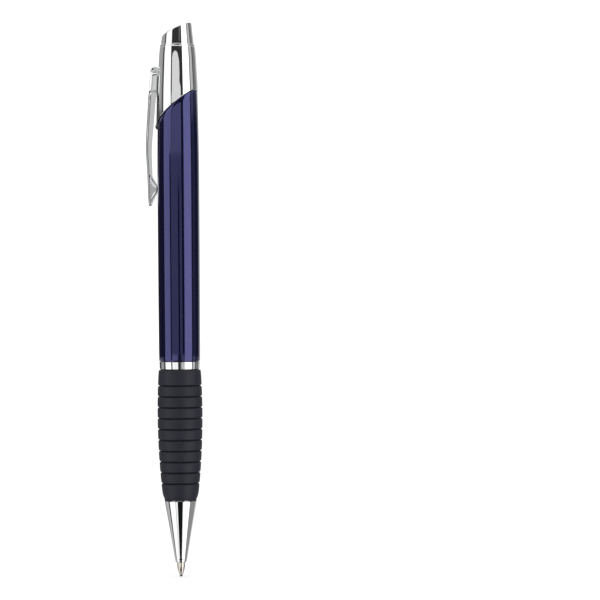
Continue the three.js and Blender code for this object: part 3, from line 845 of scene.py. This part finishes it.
for shape, material, slot, body in (
    (nose_cone, CHROME, "chrome", "front_section"),
    (rubber_grip, RUBBER, "grip_rubber", "front_section"),
    (grip_core, CORE_BRASS, "core_brass", "front_section"),
    (centre_ring, CHROME, "chrome", "ring"),
    (barrel_tube, LACQUER, "blue_lacquer", "barrel"),
    (thread_insert, INSERT_BRASS, "insert_brass", "barrel"),
    (upper_cap, CHROME, "chrome", "barrel"),
    (clip_leaf, PAINTED_SHADE_LEAF_CHROME, "clip_chrome", "barrel"),
    (cam_sleeve, WHITE_PLASTIC, "white_plastic", "barrel"),
    (rotor, DARK_PLASTIC, "dark_plastic", "cam_rotor"),
    (push_rod, WHITE_PLASTIC, "white_plastic", "button"),
    (push_button, CHROME, "chrome", "button"),
    (writing_ball, BALL_STEEL, "ball_steel", "refill"),
    (refill_point, NICKEL_SILVER, "nickel_silver", "refill"),
    (refill_nozzle, INSERT_BRASS, "insert_brass", "refill"),
    (refill_tube, REFILL_STEEL, "refill_steel", "refill"),
    (ink_column, INK, "ink", "refill"),
    (refill_plug, PLUG_PLASTIC, "plug_plastic", "refill"),
):
    placed(shape(), material, slot, body, shape.__name__)

spring = placed(return_spring(), SPRING_STEEL, "spring_steel", None, "return_spring")
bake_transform(spring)

# The strip is one mesh across its arch, and rides on no body.
clip = placed(pocket_clip(), CLIP_CHROME, "clip_chrome", None, "clip_base", "clip_arm")
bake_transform(clip)


# ---------------------------------------------------------------- floor, light and camera

VIEW_TURN = math.radians(15)
CAMERA_DISTANCE = 0.56
CAMERA_HEIGHT = 0.06952
FRAME_SHIFT = 0.03047  # from the pen's axis to the middle of the picture
LEAN = math.radians(0.41)
LENS, SENSOR = 133.15, 36
PLAIN_LIGHT = 1.2

to_right = Vector((math.cos(VIEW_TURN), math.sin(VIEW_TURN), 0))
ahead = Vector((-math.sin(VIEW_TURN), math.cos(VIEW_TURN), 0))


def floor():
    """A white floor, which the metal doesn't mirror."""
    size = 3.0
    mesh = bpy.data.meshes.new("floor")
    corners = [(-size, -size, 0), (size, -size, 0), (size, size, 0), (-size, size, 0)]
    mesh.from_pydata(corners, [], [(0, 1, 2, 3)])
    plane = bpy.data.objects.new("floor", mesh)
    bpy.context.scene.collection.objects.link(plane)
    skin = Finish("floor_white", Roughness=0.8)
    skin.set(Base_Color=skin.mixed(skin.noise(0.02, 2), (0.93, 0.93, 0.93), (0.95, 0.95, 0.95)))
    mesh.materials.append(skin.material)
    plane.visible_glossy = False


# What the polished metal mirrors, as studio cards on a ball of directions. Azimuths are in degrees from the
# camera's side, negative to its left, and elevations from the horizon. A card covers those before it.
# (azimuth from, to, elevation from, to, brightness, softness in azimuth, in elevation, bow of the top)
CARDS = [
    (-181, 181, -91, 91, 0.2, 2, 2, 0),  # the dim room
    (-181, -102, -14, 17, 0.36, 2, 2, 0),
    (-181, -97, 17, 91, 0.6, 3, 2, 0),
    (103, 181, 17, 91, 0.45, 3, 2, 0),
    (-181, -98, -91, -14, 0.5, 3, 3, 0),
    (98, 181, -91, -14, 0.27, 3, 3, 0),
    (-102, -86, -91, 91, 0.14, 3, 2, 0),  # dark edge of the left softbox
    (-95, -86, -91, 91, 0.05, 3, 2, 0),
    (-86, -38, -91, 91, 1.12, 2, 2, 0),  # left softbox
    (-47, -39, -12, 5, 0.02, 2, 1, 0),
    (-36, -28, 1.5, 5.2, 1.1, 2, 0.6, 0),
    (-36, -28, 5.2, 8.5, 0.62, 2, 0.6, 0),
    (-39, -1, -3.5, 4.8, 0.4, 2, 1, 0),  # dim middle wall
    (-1, 8, -3.5, 3, 0.01, 2, 1, 0),  # the camera's own slot
    (-3, 19, 3, 4.8, 0.38, 2, 1, 0),
    (8, 20, -3.5, 3, 0.4, 2, 1, 0),
    (20, 33, -3.5, 13, 0.01, 2, 1, 0),
    (-38, 34, 8, 44, 0.03, 3, 2, 0),  # dark overhead boom
    (13, 24, 18, 44, 0.13, 2, 2, 0),
    (-31, 20, 4.8, 16.4, 0.7, 2, 1.2, 0.008),  # pale middle wall above
    (-39, -28, -14, -3.3, 1.05, 2, 0.6, 0),
    (-30, -5, -14, -3.5, 0.95, 2, 1, 0),
    (-6, 7, -14, -3.5, 0.03, 2, 1, 0),
    (7, 13, -14, -3.5, 0.14, 2, 1, 0),
    (13, 33, -14, -3.5, 0.5, 2, 1, 0),
    (-35, -20, -60, -14, 0.95, 3, 3, 0),
    (-20, 20, -60, -14, 0.008, 3, 3, 0),
    (20, 34, -60, -14, 1.05, 3, 3, 0),
    (33, 77, -91, 91, 1.5, 2, 2, 0),  # right softbox
    (77, 83, -14, 91, 0.09, 2, 3, 0),
    (83, 103, -14, 91, 0.5, 2, 3, 0),
    (77, 98, -91, -14, 0.27, 2, 3, 0),
    (103, 112, -14, 17, 0.08, 2, 3, 0),
    (-181, -84, -3.5, 6.2, 0.03, 4, 1, 0),  # dark surround, level with the barrel
    (82, 181, -3.5, 6.2, 0.04, 2, 1, 0),
    (88, 104, -3.5, 6.2, 0.15, 4, 1, 0),
    (-181, 181, -91, -62, 0.03, 4, 4, 0),  # dark table below
    (140, 181, -30, 30, 0.55, 4, 4, 0),  # rear card, which the clip's inner face mirrors
    (-42, 36, -60, -30.5, 0.015, 3, 1, 0),  # dark floor in front
    (-181, 181, 44, 91, 1.0, 3, 5, 0),  # overhead softbox
]
APEX = -11.0  # azimuth of the top of a bowed card


def world():
    """White to the eye and for soft light; the cards are only for what is mirrored."""
    made_world = bpy.data.worlds.new("studio")
    made_world.use_nodes = True
    bpy.context.scene.world = made_world
    tree = made_world.node_tree
    tree.nodes.clear()
    links = tree.links

    def node(kind, operation=None, *values):
        """A new node, whose first inputs are values or the sockets that feed them."""
        new = tree.nodes.new(kind)
        if operation:
            new.operation = operation
        for socket, value in zip(new.inputs, values):
            if isinstance(value, bpy.types.NodeSocket):
                links.new(value, socket)
            else:
                socket.default_value = value
        return new

    def ramp(value, middle, softness):
        """A soft step from 0 to 1 round the middle."""
        new = node("ShaderNodeMapRange", None, value, middle - softness / 2, middle + softness / 2, 0.0, 1.0)
        new.interpolation_type = "SMOOTHSTEP"
        return new.outputs["Result"]

    direction = node("ShaderNodeTexCoord").outputs["Generated"]
    turn = node("ShaderNodeVectorRotate")
    turn.rotation_type = "Z_AXIS"
    links.new(direction, turn.inputs["Vector"])
    turn.inputs["Angle"].default_value = -VIEW_TURN
    parts = node("ShaderNodeSeparateXYZ", None, turn.outputs[0])
    across, along, up = parts.outputs
    towards = node("ShaderNodeMath", "MULTIPLY", along, -1.0).outputs[0]
    azimuth = node("ShaderNodeMath", "ARCTAN2", across, towards).outputs[0]
    azimuth = node("ShaderNodeMath", "DEGREES", azimuth).outputs[0]
    elevation = node("ShaderNodeMath", "ARCSINE", up).outputs[0]
    elevation = node("ShaderNodeMath", "DEGREES", elevation).outputs[0]

    light = None
    for left, right, low, high, brightness, soft, soft_up, bow in CARDS:
        sides = node("ShaderNodeMath", "SUBTRACT", ramp(azimuth, left, soft), ramp(azimuth, right, soft))
        height = elevation
        if bow:
            aside = node("ShaderNodeMath", "SUBTRACT", azimuth, APEX).outputs[0]
            square = node("ShaderNodeMath", "MULTIPLY", aside, aside).outputs[0]
            bowed = node("ShaderNodeMath", "MULTIPLY_ADD", square, bow, elevation).outputs[0]
            height = node("ShaderNodeMath", "MAXIMUM", elevation, bowed).outputs[0]
        ends = node("ShaderNodeMath", "SUBTRACT", ramp(elevation, low, soft_up), ramp(height, high, soft_up))
        mask = node("ShaderNodeMath", "MULTIPLY", sides.outputs[0], ends.outputs[0]).outputs[0]
        if light is None:
            light = node("ShaderNodeMath", "MULTIPLY", mask, brightness).outputs[0]
            continue
        change = node("ShaderNodeMath", "SUBTRACT", brightness, light).outputs[0]
        light = node("ShaderNodeMath", "MULTIPLY_ADD", change, mask, light).outputs[0]

    white = (1, 1, 1, 1)
    mirrored = node("ShaderNodeBackground", None, white, light)
    plain = node("ShaderNodeBackground", None, white, PLAIN_LIGHT)
    glossy = tree.nodes.new("ShaderNodeLightPath").outputs["Is Glossy Ray"]
    both = tree.nodes.new("ShaderNodeMixShader")
    links.new(glossy, both.inputs[0])
    links.new(plain.outputs[0], both.inputs[1])
    links.new(mirrored.outputs[0], both.inputs[2])
    output = tree.nodes.new("ShaderNodeOutputWorld")
    links.new(both.outputs[0], output.inputs["Surface"])
    made_world.cycles.sampling_method = "NONE"


def camera():
    data = bpy.data.cameras.new("camera")
    data.sensor_width = SENSOR
    data.lens = LENS
    data.clip_end = 20
    eye = bpy.data.objects.new("camera", data)
    bpy.context.scene.collection.objects.link(eye)
    axis = Vector((AXIS_X * MM, 0, 0))
    eye.location = axis + FRAME_SHIFT * to_right - CAMERA_DISTANCE * ahead + Vector((0, 0, CAMERA_HEIGHT))
    eye.rotation_euler = (math.pi / 2, LEAN, VIEW_TURN)
    bpy.context.scene.camera = eye


floor()
world()
camera()
bpy.context.scene.view_settings.view_transform = "Standard"
